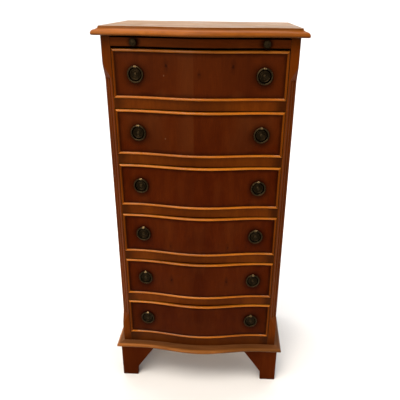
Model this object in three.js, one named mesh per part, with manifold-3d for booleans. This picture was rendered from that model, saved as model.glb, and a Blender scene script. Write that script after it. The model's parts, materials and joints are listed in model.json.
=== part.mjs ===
// Serpentine-fronted semainier: six drawers, a brushing slide, canted fluted corner posts,
// moulded top and base, and bracket feet. Millimetres, X to the right, Y to the back, Z up.
// The origin is on the floor under the middle of the whole chest.

import * as THREE from 'three';
import { mergeVertices } from 'three/addons/utils/BufferGeometryUtils.js';
import Module from 'manifold-3d';

const wasm = await Module();
wasm.setup();

// Overall sizes of the carcass
const overallHeight = 1030;
const carcassWidth = 470;
const carcassDepth = 372;
const sideThickness = 21.8;
const drawerCount = 6;

// Serpentine fronts: each bows forward by its own depth, inside one half width
const bowHalfWidth = 184;
const bowSteps = 14;
const topBow = 29;
const drawerBow = 22.5;
const railBow = 16.5;
const baseBow = 23.8;

// Moulded top board
const topThickness = 20;
const topOverhang = 19;

// Base moulding and bracket feet
const footHeight = 114.5;
const footSpan = 105.5;
const footProud = 8.5;
const footThickness = 16;
const footBlock = 30;
const footBlockDrop = 12;
const toeRound = 3;
const baseHeight = 16.5;
const baseOverhang = 20;

// Rails, dust boards and the bed under the slide
const railHeight = 24.3;
const bottomRailHeight = 32.2;
const railDepth = 50;
const dustBoardThickness = 12;
const bottomBoardThickness = 18;
const bedThickness = 3;
const bedSetback = 14;
const grooveDepth = 6;

// Corner posts with their cant, tongues and flutes
const postDepth = 42;
const cant = 19.5;
const arris = 0.5;
const cantInset = 58;
const tongueLength = 46;
const tongueSteps = 6;
const fluteCount = 2;
const flutePitch = 9.5;
const fluteRadius = 3.6;
const fluteDepth = 2;
const fluteSides = 12;
const fluteEndSteps = 3;
const fluteRunOut = 9;

// Back panel in its rebate
const backThickness = 6;
const rebateWidth = 10;

// Clearances
const fitGap = 0.3;
const drawerSideGap = 1.2;
const drawerTopGap = 2.1;
const slideTopGap = 5;
const slideSideGap = 0.7;
const drawerBackGap = 10;
const cutOverrun = 1;
const weldReach = 0.0001;

// Drawers
const frontInner = 18;
const panelProud = 0.5;
const beadProud = 3.5;
const beadWidth = 6.4;
const beadSides = 4;
const lapDepth = 10;
const drawerSideThickness = 10;
const drawerTopStep = 9;
const drawerBackThickness = 9;
const drawerBottomThickness = 5;
const drawerBottomRise = 7;

// Brushing slide
const slideThickness = 18.5;
const slideLength = 340;

// Ring pulls
const pullSpacing = 311;
const plateRadius = 19;
const plateRelief = 4.4;
const plateSides = 14;
const ringRadius = 18;
const ringWire = 1.9;
const ringStandoff = 3.6;
const ringSteps = 12;
const ringSides = 6;
const lugWidth = 5;
const lugWall = 1.2;
const lugFoot = 3;
const lugSides = 4;
const pinRadius = 1.1;
const pinReach = 1.9;
const pinSides = 6;
const studRadius = 2.2;
const studLength = 11;
const studSides = 8;

// Knobs of the slide
const knobSpacing = 312;
const knobRadius = 8.8;
const knobLength = 14;
const knobSides = 14;

// Levels, from the floor up
const baseTop = footHeight + baseHeight;
const bottomRailTop = baseTop + bottomRailHeight;
const topUnderside = overallHeight - topThickness;
const slideTop = topUnderside - slideTopGap;
const slideBottom = slideTop - slideThickness;
const bedTop = slideBottom - fitGap;
const bedBottom = bedTop - bedThickness;
const railsTotal = railHeight * (drawerCount - 1);
const openingHeight = (bedBottom - bottomRailTop - railsTotal) / drawerCount;
const drawerHeight = openingHeight - drawerTopGap - fitGap;

// Half widths
const carcassHalf = carcassWidth / 2;
const openingHalf = carcassHalf - sideThickness;
const drawerHalf = openingHalf - drawerSideGap;
const slideHalf = openingHalf - slideSideGap;
const tongueHalf = openingHalf + grooveDepth - fitGap;

// Depths behind the face of the corner posts
const backFace = carcassDepth - backThickness;
const boardBack = backFace - fitGap;
const boxBack = boardBack - drawerBackGap;
const frontReach = Math.max(topOverhang + topBow, baseOverhang + baseBow);
const faceY = (frontReach - carcassDepth) / 2;

// Outlines as shares: reach out from the carcass, height from the underside
const topEdgeShares = {
  start: [0.82, 0],
  curves: [
    [1, 0.02, 1, 0.24],
    [0.95, 0.47, 0.76, 0.58],
    [0.36, 0.65, 0.2, 0.83],
  ],
  end: [0.17, 1],
};
const baseEdgeShares = {
  start: [0.66, 0],
  curves: [
    [1, 0, 1, 0.364],
    [1, 0.7, 0.68, 0.73],
    [0.3, 0.76, 0.02, 0.98],
  ],
  end: [0, 1],
};
const edgeDivisions = 3;

// Bracket foot outline as shares of its span and height
const toeShare = 0.451;
const toeTopShare = 0.18;
const bracketBendShare = [0.505, 0.33];
const toeCurveShare = 0.27;

// Rosette of a pull, from rim to centre: shares of the plate radius and of its relief
const rosetteShares = [
  [1, 0], [1, 0.26], [0.77, 0.32], [0.66, 0.72], [0.5, 0.42], [0.27, 0.5], [0.13, 0.92], [0, 1],
];

// Knob, from its seat to its crown: shares of the knob radius and length
const knobShares = [
  [0, 0], [0.56, 0], [0.56, 0.1], [0.34, 0.2], [0.34, 0.42], [0.8, 0.54],
  [1, 0.68], [0.96, 0.84], [0.6, 0.97], [0, 1],
];

const yewVeneer = new THREE.MeshStandardMaterial({ color: 0x6b3416, roughness: 0.4, metalness: 0 });
const yewSolid = new THREE.MeshStandardMaterial({ color: 0x7f431c, roughness: 0.42, metalness: 0 });
const yewTop = new THREE.MeshStandardMaterial({ color: 0xa8703f, roughness: 0.36, metalness: 0 });
const yewDark = new THREE.MeshStandardMaterial({ color: 0x4b2010, roughness: 0.45, metalness: 0 });
const drawerWood = new THREE.MeshStandardMaterial({ color: 0xb98d5a, roughness: 0.65, metalness: 0 });
const boardWood = new THREE.MeshStandardMaterial({ color: 0xa67c4f, roughness: 0.7, metalness: 0 });
const agedBrass = new THREE.MeshStandardMaterial({ color: 0x5a4a2a, roughness: 0.35, metalness: 1 });

// Geometry helpers

// How far a serpentine front stands forward at a place across the chest
function bowAt(x, bow) {
  const share = Math.min(Math.abs(x) / bowHalfWidth, 1);
  return (bow * (1 + Math.cos(Math.PI * share))) / 2;
}

// Places across the chest where a serpentine front has a section, end to end
function bowStations(halfWidth) {
  const stations = [];
  for (let step = 0; step <= bowSteps; step += 1) {
    const x = bowHalfWidth * ((2 * step) / bowSteps - 1);
    if (Math.abs(x) < halfWidth) stations.push(x);
  }
  return [-halfWidth, ...stations, halfWidth];
}

// The same front as its flat facets give it, for what is seated on it
function facetBowAt(x, bow) {
  const stepWidth = (2 * bowHalfWidth) / bowSteps;
  const step = Math.floor((x + bowHalfWidth) / stepWidth);
  const left = step * stepWidth - bowHalfWidth;
  const share = (x - left) / stepWidth;
  return bowAt(left, bow) * (1 - share) + bowAt(left + stepWidth, bow) * share;
}

function signedVolume(positions, index) {
  const a = new THREE.Vector3();
  const b = new THREE.Vector3();
  const c = new THREE.Vector3();
  let volume = 0;
  for (let i = 0; i < index.length; i += 3) {
    a.fromArray(positions, 3 * index[i]);
    b.fromArray(positions, 3 * index[i + 1]);
    c.fromArray(positions, 3 * index[i + 2]);
    volume += a.dot(b.cross(c));
  }
  return volume;
}

// A geometry of shared points whose faces look outwards
function closedGeometry(positions, triangles) {
  const index = triangles.filter((_, i) => {
    const first = 3 * Math.floor(i / 3);
    const [a, b, c] = triangles.slice(first, first + 3);
    return a !== b && b !== c && c !== a;
  });
  if (signedVolume(positions, index) < 0) {
    for (let i = 0; i < index.length; i += 3) {
      [index[i], index[i + 1]] = [index[i + 1], index[i]];
    }
  }
  const geometry = new THREE.BufferGeometry();
  geometry.setAttribute('position', new THREE.Float32BufferAttribute(positions, 3));
  geometry.setIndex(index);
  return geometry;
}

function welded(source) {
  const geometry = source.clone();
  geometry.deleteAttribute('normal');
  geometry.deleteAttribute('uv');
  const merged = mergeVertices(geometry, weldReach);
  return closedGeometry(Array.from(merged.attributes.position.array), Array.from(merged.index.array));
}

// A closed loop as flat points, seen along the axis that it faces most
function flatLoop(loop) {
  const normal = new THREE.Vector3();
  loop.forEach((point, i) => {
    const next = loop[(i + 1) % loop.length];
    normal.x += (point.y - next.y) * (point.z + next.z);
    normal.y += (point.z - next.z) * (point.x + next.x);
    normal.z += (point.x - next.x) * (point.y + next.y);
  });
  const size = normal.toArray().map(Math.abs);
  const away = size.indexOf(Math.max(...size));
  const [u, v] = [[1, 2], [0, 2], [0, 1]][away];
  return loop.map((point) => new THREE.Vector2(point.getComponent(u), point.getComponent(v)));
}

// A solid through loops of equally many points, closed at both ends. Each four-sided
// facet is split across one diagonal, or across the other where splitOther says so.
function loft(loops, splitOther = () => false, cap = earCap) {
  const count = loops[0].length;
  const positions = loops.flat().flatMap((point) => point.toArray());
  const index = [];
  for (let row = 0; row + 1 < loops.length; row += 1) {
    for (let i = 0; i < count; i += 1) {
      const a = row * count + i;
      const b = row * count + ((i + 1) % count);
      if (splitOther(row, i)) index.push(a, b, a + count, b, b + count, a + count);
      else index.push(a, b, b + count, a, b + count, a + count);
    }
  }
  const last = loops.length - 1;
  index.push(...cap(loops[0], false));
  index.push(...cap(loops[last], true).map((i) => i + last * count));
  return closedGeometry(positions, index);
}

// Fills a loop with triangles that all meet at its last point
function fanCap(loop, sameWay) {
  const hub = loop.length - 1;
  return loop.slice(2).flatMap((_, i) => (sameWay ? [hub, i, i + 1] : [hub, i + 1, i]));
}

// Fills a loop with triangles that run the same way as the loop, or against it
function earCap(loop, sameWay) {
  const flat = flatLoop(loop);
  const wanted = THREE.ShapeUtils.isClockWise(flat) === sameWay;
  return THREE.ShapeUtils.triangulateShape(flat, []).flatMap(([a, b, c]) => {
    const clockwise = THREE.ShapeUtils.isClockWise([flat[a], flat[b], flat[c]]);
    return clockwise === wanted ? [a, b, c] : [a, c, b];
  });
}

function block(x, y, z) {
  const geometry = new THREE.BoxGeometry(x[1] - x[0], y[1] - y[0], z[1] - z[0]);
  return geometry.translate((x[0] + x[1]) / 2, (y[0] + y[1]) / 2, (z[0] + z[1]) / 2);
}

function toSolid(geometry) {
  const source = welded(geometry);
  const mesh = new wasm.Mesh({
    numProp: 3,
    vertProperties: new Float32Array(source.attributes.position.array),
    triVerts: new Uint32Array(source.index.array),
  });
  return new wasm.Manifold(mesh);
}

function toGeometry(solid) {
  const mesh = solid.getMesh();
  return closedGeometry(Array.from(mesh.vertProperties), Array.from(mesh.triVerts));
}

function join(...geometries) {
  return toGeometry(geometries.map(toSolid).reduce((whole, piece) => whole.add(piece)));
}

function cut(geometry, ...cutters) {
  const whole = toSolid(geometry);
  return toGeometry(cutters.map(toSolid).reduce((rest, cutter) => rest.subtract(cutter), whole));
}

function bothSides(build) {
  return [-1, 1].map(build);
}

const chest = new THREE.Group();
chest.position.y = faceY;

function addPiece(name, geometry, material, parent = chest) {
  const mesh = new THREE.Mesh(geometry, material);
  mesh.name = name;
  mesh.geometry.computeVertexNormals();
  parent.add(mesh);
  return mesh;
}

const sideName = (side) => (side < 0 ? 'left' : 'right');

// Moulded edges

function edgeProfile(shares, reach, height) {
  const scaled = ([a, b]) => [a * reach, b * height];
  const path = new THREE.Path();
  path.moveTo(...scaled(shares.start));
  shares.curves.forEach(([a, b, c, d]) => {
    path.quadraticCurveTo(...scaled([a, b]), ...scaled([c, d]));
  });
  path.lineTo(...scaled(shares.end));
  return path.getPoints(edgeDivisions);
}

// The top board: its plan outline at each level of the moulded edge
function topBoard() {
  const profile = edgeProfile(topEdgeShares, topOverhang, topThickness);
  const stations = bowStations(carcassHalf);
  const loops = profile.map(({ x: reach, y: height }) => {
    const z = topUnderside + height;
    const front = stations.map((x) => {
      const widened = Math.abs(x) < carcassHalf ? x : x + Math.sign(x) * reach;
      return new THREE.Vector3(widened, -reach - bowAt(x, topBow), z);
    });
    const half = carcassHalf + reach;
    const back = [half, -half].map((x) => new THREE.Vector3(x, carcassDepth, z));
    return [...front, ...back];
  });
  return loft(loops);
}

// Base moulding: its inner face follows the bottom rail, its nose bows further out
function baseProfile() {
  const edge = edgeProfile(baseEdgeShares, baseOverhang, baseHeight);
  return [new THREE.Vector2(0, 0), ...edge];
}

function baseMouldingFront() {
  const profile = baseProfile();
  const loops = bowStations(carcassHalf).map((x) => profile.map(({ x: reach, y: height }) => {
    const bow = railBow + (baseBow - railBow) * (reach / baseOverhang);
    const mitred = Math.abs(x) < carcassHalf ? x : x + Math.sign(x) * reach;
    return new THREE.Vector3(mitred, -reach - bowAt(x, bow), footHeight + height);
  }));
  return loft(loops);
}

function baseMouldingSide(side) {
  const profile = baseProfile();
  const outward = (reach) => side * (carcassHalf + reach);
  const front = profile.map(({ x: reach, y: height }) => (
    new THREE.Vector3(outward(reach), -reach, footHeight + height)
  ));
  const back = profile.map(({ x: reach, y: height }) => (
    new THREE.Vector3(outward(reach), carcassDepth, footHeight + height)
  ));
  return loft([front, back]);
}

// Bracket feet

// Outline of one wing: x runs from the outer corner inwards, y is height
function wingShape() {
  const toe = footSpan * toeShare;
  const bend = [footSpan * bracketBendShare[0], footHeight * bracketBendShare[1]];
  const shape = new THREE.Shape();
  shape.moveTo(0, toeRound);
  shape.quadraticCurveTo(0, 0, toeRound, 0);
  shape.lineTo(toe - toeRound, 0);
  shape.quadraticCurveTo(toe, 0, toe, toeRound);
  shape.lineTo(toe, footHeight * toeTopShare);
  shape.quadraticCurveTo(toe, footHeight * toeCurveShare, ...bend);
  shape.lineTo(footSpan, footHeight);
  shape.lineTo(0, footHeight);
  return shape;
}

// A wing stood upright: it runs inwards along +X and its thickness lies along +Y
function wing(thickness) {
  const geometry = new THREE.ExtrudeGeometry(wingShape(), {
    depth: thickness,
    bevelEnabled: false,
    curveSegments: edgeDivisions,
  });
  geometry.rotateX(Math.PI / 2);
  return geometry.translate(0, thickness, 0);
}

// The front wing is sawn from a board that follows the base moulding
function frontWing(side) {
  const outer = carcassHalf + footProud;
  const board = loft(bowStations(outer + cutOverrun).map((x) => {
    const face = -footProud - bowAt(x, baseBow);
    return [
      [face, -cutOverrun],
      [face + footThickness, -cutOverrun],
      [face + footThickness, footHeight + cutOverrun],
      [face, footHeight + cutOverrun],
    ].map(([y, z]) => new THREE.Vector3(x, y, z));
  }));
  const outline = wing(baseBow + footThickness + 2 * cutOverrun);
  outline.scale(-side, 1, 1);
  outline.translate(side * outer, -footProud - baseBow - cutOverrun, 0);
  return toGeometry(toSolid(board).intersect(toSolid(outline)));
}

function foot(side, atBack) {
  const inward = atBack ? -1 : 1;
  const place = (geometry) => {
    geometry.scale(-side, inward, 1);
    return geometry.translate(side * (carcassHalf + footProud), atBack ? carcassDepth : -footProud, 0);
  };
  const flank = wing(footThickness).rotateZ(Math.PI / 2).translate(footThickness, 0, 0);
  const corner = [footThickness - cutOverrun, footThickness + footBlock];
  const glueBlock = block(corner, corner, [footBlockDrop, footHeight]);
  const along = atBack ? place(wing(footThickness)) : frontWing(side);
  return join(along, place(flank), place(glueBlock));
}

// Corner posts

// Depth of the cant at a height: an ogee tongue at each end
function cantAt(z) {
  const fromEnd = Math.min(z - baseTop, topUnderside - z) - cantInset;
  const share = THREE.MathUtils.clamp(fromEnd / tongueLength, 0, 1);
  return arris + (cant - arris) * THREE.MathUtils.smoothstep(share, 0, 1);
}

function postLevels() {
  const rise = Array.from({ length: tongueSteps + 1 }, (_, i) => (
    cantInset + (tongueLength * i) / tongueSteps
  ));
  const lower = rise.map((step) => baseTop + step);
  const upper = rise.map((step) => topUnderside - step).reverse();
  return [footHeight, ...lower, ...upper, topUnderside];
}

// A rod with round ends that cuts one flute
function fluteCutter(offset, side) {
  const inset = cantInset + tongueLength - fluteRunOut;
  const start = baseTop + inset;
  const end = topUnderside - inset;
  const straight = end - start - 2 * fluteRadius;
  const rod = new THREE.CapsuleGeometry(fluteRadius, straight, fluteEndSteps, fluteSides);
  rod.rotateX(Math.PI / 2);
  const out = fluteRadius - fluteDepth;
  const x = carcassHalf - cant / 2 + (offset + out) * Math.SQRT1_2;
  const y = cant / 2 + (offset - out) * Math.SQRT1_2;
  return rod.translate(side * x, y, (start + end) / 2);
}

function cornerPost(side) {
  const at = (x, y, z) => new THREE.Vector3(side * x, y, z);
  const loops = postLevels().map((z) => [
    at(openingHalf, 0, z),
    at(carcassHalf - cantAt(z), 0, z),
    at(carcassHalf, cantAt(z), z),
    at(carcassHalf, postDepth, z),
    at(openingHalf, postDepth, z),
  ]);
  const cutters = Array.from({ length: fluteCount }, (_, i) => (
    fluteCutter((i - (fluteCount - 1) / 2) * flutePitch, side)
  ));
  return cut(loft(loops), ...cutters);
}

// Carcass boards

// Underside of each drawer opening, the top drawer first
const openingBottoms = Array.from({ length: drawerCount }, (_, row) => (
  bottomRailTop + (drawerCount - 1 - row) * (openingHeight + railHeight)
));

// Boards that are let into the sides: [underside, thickness]
const letInBoards = [
  [bottomRailTop - bottomBoardThickness, bottomBoardThickness],
  ...openingBottoms.slice(0, -1).map((bottom) => [bottom - dustBoardThickness, dustBoardThickness]),
  [bedBottom, bedThickness],
];

function sidePanel(side) {
  const spanX = (near, far) => [side * near, side * far].sort((a, b) => a - b);
  const height = [footHeight, topUnderside];
  const panel = block(spanX(openingHalf, carcassHalf), [postDepth, carcassDepth], height);
  const grooves = letInBoards.map(([bottom, thickness]) => block(
    spanX(openingHalf - cutOverrun, openingHalf + grooveDepth),
    [postDepth - cutOverrun, boardBack],
    [bottom, bottom + thickness + fitGap],
  ));
  const rebate = block(
    spanX(openingHalf - cutOverrun, openingHalf + rebateWidth),
    [backFace, carcassDepth + cutOverrun],
    [footHeight - cutOverrun, topUnderside + cutOverrun],
  );
  return cut(panel, ...grooves, rebate);
}

// A serpentine rail with a thinner board behind it, let into both side panels
function railWithBoard(bottom, top, boardThickness) {
  const boardBottom = top - boardThickness;
  const loops = bowStations(openingHalf).map((x) => [
    [-bowAt(x, railBow), bottom],
    [railDepth, bottom],
    [railDepth, boardBottom],
    [boardBack, boardBottom],
    [boardBack, top],
    [-bowAt(x, railBow), top],
  ].map(([y, z]) => new THREE.Vector3(x, y, z)));
  const tongue = block([-tongueHalf, tongueHalf], [postDepth + fitGap, boardBack], [boardBottom, top]);
  return join(loft(loops), tongue);
}

function slideBed() {
  const level = [bedBottom, bedTop];
  const nose = block([-openingHalf, openingHalf], [bedSetback, boardBack], level);
  const sheet = block([-tongueHalf, tongueHalf], [postDepth + fitGap, boardBack], level);
  return join(nose, sheet);
}

function backPanel() {
  const half = openingHalf + rebateWidth - fitGap;
  return block([-half, half], [backFace, carcassDepth], [footHeight, topUnderside]);
}

// Drawers

// Distances in from a drawer's edge where the bead round it has a facet line
const beadInsets = Array.from({ length: beadSides + 1 }, (_, i) => (
  (beadWidth * (1 - Math.cos((Math.PI * i) / beadSides))) / 2
));

// The bead is half an ellipse in section: its height over the panel, that far in from the edge
function beadRise(inset) {
  const offCrown = Math.min((2 * inset) / beadWidth - 1, 1);
  return beadProud * Math.sqrt(1 - offCrown * offCrown);
}

// Serpentine panel and bead in one: the nearest edge rules, which mitres the bead at the corners
function beadedPanel() {
  const ends = beadInsets.map((inset) => drawerHalf - inset);
  const bowed = bowStations(drawerHalf).filter((x) => Math.abs(x) < drawerHalf - beadWidth);
  const across = [...ends.map((x) => -x), ...bowed, ...ends.reverse()];
  const up = [...beadInsets, ...beadInsets.map((inset) => drawerHeight - inset).reverse()];
  const loops = across.map((x) => {
    const face = up.map((z) => {
      const inset = Math.min(drawerHalf - Math.abs(x), z, drawerHeight - z);
      const out = panelProud + beadRise(inset) + bowAt(x, drawerBow);
      return new THREE.Vector3(x, -out, z);
    });
    return [...face, ...[drawerHeight, 0].map((z) => new THREE.Vector3(x, frontInner, z))];
  });
  const mitreFalls = (row, i) => row < across.length / 2 === i < up.length / 2;
  return loft(loops, mitreFalls, fanCap);
}

// Solid serpentine front with a mitred bead round it, rebated for the drawer sides
function drawerFront() {
  const laps = bothSides((side) => block(
    [side * drawerHalf - drawerSideThickness, side * drawerHalf + drawerSideThickness],
    [frontInner - lapDepth, frontInner + cutOverrun],
    [-cutOverrun, drawerHeight - drawerTopStep],
  ));
  const studHoles = bothSides((side) => {
    const hole = new THREE.CylinderGeometry(
      studRadius + fitGap,
      studRadius + fitGap,
      studLength + fitGap + cutOverrun,
      studSides,
    );
    hole.translate(0, (studLength + fitGap - cutOverrun) / 2, 0);
    return seated(hole, side * pullSpacing / 2, drawerBow, plateRadius, drawerHeight / 2, panelProud);
  });
  return cut(beadedPanel(), ...laps, ...studHoles);
}

// Sides, back and bottom of one drawer, its sides lapped into the front
function drawerBox() {
  const sideTop = drawerHeight - drawerTopStep - fitGap;
  const inner = drawerHalf - drawerSideThickness;
  const sides = bothSides((side) => block(
    [side * drawerHalf, side * inner].sort((a, b) => a - b),
    [frontInner - lapDepth, boxBack],
    [0, sideTop],
  ));
  const back = block(
    [-inner - cutOverrun, inner + cutOverrun],
    [boxBack - drawerBackThickness, boxBack],
    [0, sideTop - fitGap],
  );
  const bottom = block(
    [-inner - cutOverrun, inner + cutOverrun],
    [frontInner, boxBack - cutOverrun],
    [drawerBottomRise, drawerBottomRise + drawerBottomThickness],
  );
  return join(...sides, back, bottom);
}

// Where a round fitting sits on a serpentine face: its middle and its turn about Z
function seatOnFront(x, bow, radius) {
  const left = -facetBowAt(x - radius, bow);
  const right = -facetBowAt(x + radius, bow);
  return { y: (left + right) / 2, turn: Math.atan2(right - left, 2 * radius) };
}

function seated(geometry, x, bow, radius, z, proud) {
  const seat = seatOnFront(x, bow, radius);
  geometry.rotateZ(seat.turn);
  return geometry.translate(x, seat.y - proud, z);
}

// Ring pulls: modelled facing -Y, with the back of the plate on the plane y = 0

const ringGap = lugWidth / 2 + 2 * fitGap;
const ringGapAngle = Math.asin(ringGap / ringRadius);
const pivotHeight = ringRadius * Math.cos(ringGapAngle);
const pivotHole = pinRadius + fitGap;

function latheAlongY(shares, radius, length, sides) {
  const points = shares.map(([r, out]) => new THREE.Vector2(r * radius, -out * length));
  return new THREE.LatheGeometry(points, sides);
}

// A stud that goes into the wood behind a fitting
function stud() {
  const geometry = new THREE.CylinderGeometry(studRadius, studRadius, studLength + cutOverrun, studSides);
  return geometry.translate(0, (studLength - cutOverrun) / 2, 0);
}

function pullPlate() {
  const rosette = latheAlongY([[0, 0], ...rosetteShares], plateRadius, plateRelief, plateSides);
  const lugRadius = pivotHole + lugWall;
  const shape = new THREE.Shape();
  shape.moveTo(0, pivotHeight - lugRadius - lugFoot);
  shape.lineTo(-ringStandoff, pivotHeight - lugRadius);
  shape.absarc(-ringStandoff, pivotHeight, lugRadius, -Math.PI / 2, -1.5 * Math.PI, true);
  shape.lineTo(0, pivotHeight + lugRadius);
  const hole = new THREE.Path();
  hole.absarc(-ringStandoff, pivotHeight, pivotHole, 0, 2 * Math.PI);
  shape.holes.push(hole);
  const lug = new THREE.ExtrudeGeometry(shape, {
    depth: lugWidth,
    bevelEnabled: false,
    curveSegments: lugSides,
  });
  lug.applyMatrix4(new THREE.Matrix4().makeBasis(
    new THREE.Vector3(0, 1, 0),
    new THREE.Vector3(0, 0, 1),
    new THREE.Vector3(1, 0, 0),
  ));
  lug.translate(-lugWidth / 2, 0, 0);
  return join(rosette, lug, stud());
}

// A C of round wire whose ends turn into the lug as two pins
function pullRing() {
  const turns = Array.from({ length: ringSteps + 1 }, (_, i) => (
    ringGapAngle + ((2 * Math.PI - 2 * ringGapAngle) * i) / ringSteps
  ));
  const loops = turns.map((turn) => Array.from({ length: ringSides }, (_, i) => {
    const around = (2 * Math.PI * i) / ringSides;
    const radius = ringRadius + ringWire * Math.cos(around);
    return new THREE.Vector3(
      radius * Math.sin(turn),
      -ringStandoff + ringWire * Math.sin(around),
      radius * Math.cos(turn),
    );
  }));
  const pins = bothSides((side) => {
    const pin = new THREE.CylinderGeometry(pinRadius, pinRadius, pinReach + ringWire, pinSides);
    pin.rotateZ(Math.PI / 2);
    return pin.translate(side * (ringGap + (ringWire - pinReach) / 2), -ringStandoff, pivotHeight);
  });
  return join(loft(loops), ...pins);
}

function slideBoard() {
  const stations = bowStations(slideHalf);
  const board = loft([slideBottom, slideTop].map((z) => [
    ...stations.map((x) => new THREE.Vector3(x, -bowAt(x, drawerBow), z)),
    new THREE.Vector3(slideHalf, slideLength, z),
    new THREE.Vector3(-slideHalf, slideLength, z),
  ]));
  const holes = bothSides((side) => {
    const depth = studLength + fitGap;
    const hole = new THREE.CylinderGeometry(
      studRadius + fitGap,
      studRadius + fitGap,
      depth + cutOverrun,
      studSides,
    );
    hole.translate(0, (depth - cutOverrun) / 2, 0);
    return seated(hole, side * knobSpacing / 2, drawerBow, knobRadius, (slideBottom + slideTop) / 2, 0);
  });
  return cut(board, ...holes);
}

function knob() {
  return join(latheAlongY(knobShares, knobRadius, knobLength, knobSides), stud());
}

// A fitting's own frame on a serpentine face, one fit gap proud of the wood
function fittingGroup(x, z, radius, proud, parent) {
  const seat = seatOnFront(x, drawerBow, radius);
  const group = new THREE.Group();
  group.rotation.z = seat.turn;
  group.position.set(x, seat.y - proud, z);
  group.translateY(-fitGap);
  parent.add(group);
  return group;
}

// Assembly

addPiece('top_board', topBoard(), yewTop);
bothSides((side) => {
  addPiece(`side_panel_${sideName(side)}`, sidePanel(side), yewSolid);
  addPiece(`corner_post_${sideName(side)}`, cornerPost(side), yewSolid);
  addPiece(`base_moulding_${sideName(side)}`, baseMouldingSide(side), yewSolid);
  addPiece(`foot_front_${sideName(side)}`, foot(side, false), yewDark);
  addPiece(`foot_back_${sideName(side)}`, foot(side, true), yewDark);
});
addPiece('base_moulding_front', baseMouldingFront(), yewSolid);
addPiece('back_panel', backPanel(), boardWood);
addPiece('bottom_board', railWithBoard(footHeight, bottomRailTop, bottomBoardThickness), yewVeneer);
addPiece('slide_bed', slideBed(), boardWood);
openingBottoms.slice(0, -1).forEach((bottom, i) => {
  const divider = railWithBoard(bottom - railHeight, bottom, dustBoardThickness);
  addPiece(`drawer_divider_${i + 1}`, divider, yewVeneer);
});

addPiece('brushing_slide', slideBoard(), yewVeneer);
bothSides((side) => {
  const level = (slideBottom + slideTop) / 2;
  const group = fittingGroup(side * knobSpacing / 2, level, knobRadius, 0, chest);
  addPiece(`slide_knob_${sideName(side)}`, knob(), agedBrass, group);
});

openingBottoms.forEach((bottom, row) => {
  const drawer = new THREE.Group();
  drawer.position.z = bottom + fitGap;
  chest.add(drawer);
  const number = row + 1;
  addPiece(`drawer_front_${number}`, drawerFront(), yewVeneer, drawer);
  addPiece(`drawer_box_${number}`, drawerBox(), drawerWood, drawer);
  bothSides((side) => {
    const group = fittingGroup(side * pullSpacing / 2, drawerHeight / 2, plateRadius, panelProud, drawer);
    addPiece(`pull_plate_${number}_${sideName(side)}`, pullPlate(), agedBrass, group);
    addPiece(`pull_ring_${number}_${sideName(side)}`, pullRing(), agedBrass, group);
  });
});

const semainier = new THREE.Group();
semainier.name = 'semainier';
semainier.add(chest);

export default semainier;
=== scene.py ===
# Looks of the serpentine semainier: wood and brass, finer pulls and knobs, camera and studio.
# Metres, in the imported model's frame: X to the right, Y to the back, Z up.

import json
import math

import bmesh
import bpy
from mathutils import Matrix, Vector

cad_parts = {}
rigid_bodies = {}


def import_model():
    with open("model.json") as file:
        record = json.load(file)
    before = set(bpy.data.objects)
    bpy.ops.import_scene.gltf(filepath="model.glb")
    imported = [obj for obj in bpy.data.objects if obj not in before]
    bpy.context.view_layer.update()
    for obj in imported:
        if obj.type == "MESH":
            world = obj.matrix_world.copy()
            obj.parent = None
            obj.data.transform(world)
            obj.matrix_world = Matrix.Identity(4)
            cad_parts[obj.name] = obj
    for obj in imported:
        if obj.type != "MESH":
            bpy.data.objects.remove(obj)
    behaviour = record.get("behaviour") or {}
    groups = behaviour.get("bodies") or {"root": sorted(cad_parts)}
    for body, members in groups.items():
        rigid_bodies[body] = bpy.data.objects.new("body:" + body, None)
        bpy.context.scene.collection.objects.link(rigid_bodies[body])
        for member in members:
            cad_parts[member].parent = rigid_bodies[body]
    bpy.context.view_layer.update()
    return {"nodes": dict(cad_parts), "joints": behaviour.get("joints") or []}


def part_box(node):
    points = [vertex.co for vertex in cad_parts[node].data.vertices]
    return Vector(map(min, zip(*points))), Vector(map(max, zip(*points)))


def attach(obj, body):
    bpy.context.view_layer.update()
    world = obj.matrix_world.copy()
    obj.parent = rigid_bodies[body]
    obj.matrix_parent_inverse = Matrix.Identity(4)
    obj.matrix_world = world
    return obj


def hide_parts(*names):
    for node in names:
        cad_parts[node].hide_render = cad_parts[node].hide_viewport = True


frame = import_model()
nodes = frame["nodes"]
scene = bpy.context.scene

MM = 0.001

# Sizes of the fronts and rails, measured in the frame or the same as in the part's source
FACE_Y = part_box("corner_post_left")[0].y
DRAWER_LO, DRAWER_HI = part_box("drawer_front_1")
DRAWER_HALF = DRAWER_HI.x
DRAWER_HEIGHT = DRAWER_HI.z - DRAWER_LO.z
BOW_HALF_WIDTH = 184 * MM
DRAWER_BOW = 22.5 * MM
BEAD_WIDTH = 6.4 * MM
BEAD_STRIP_DEPTH = 11 * MM
PULL_X = 155.5 * MM
RAIL_DEPTH = 50 * MM
KNOB_SPOT = (156 * MM, 995.75 * MM)
SLIDE_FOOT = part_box("brushing_slide")[0].z
LOWEST_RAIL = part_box("bottom_board")[1].z + 5 * MM
# A dust board ends 5.7 mm inside a side panel, so this plane lies 0.3 mm inside the panel
BOARD_INSET = 5.4 * MM
SIDE_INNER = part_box("drawer_divider_1")[1].x - BOARD_INSET


# Shader helpers


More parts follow.
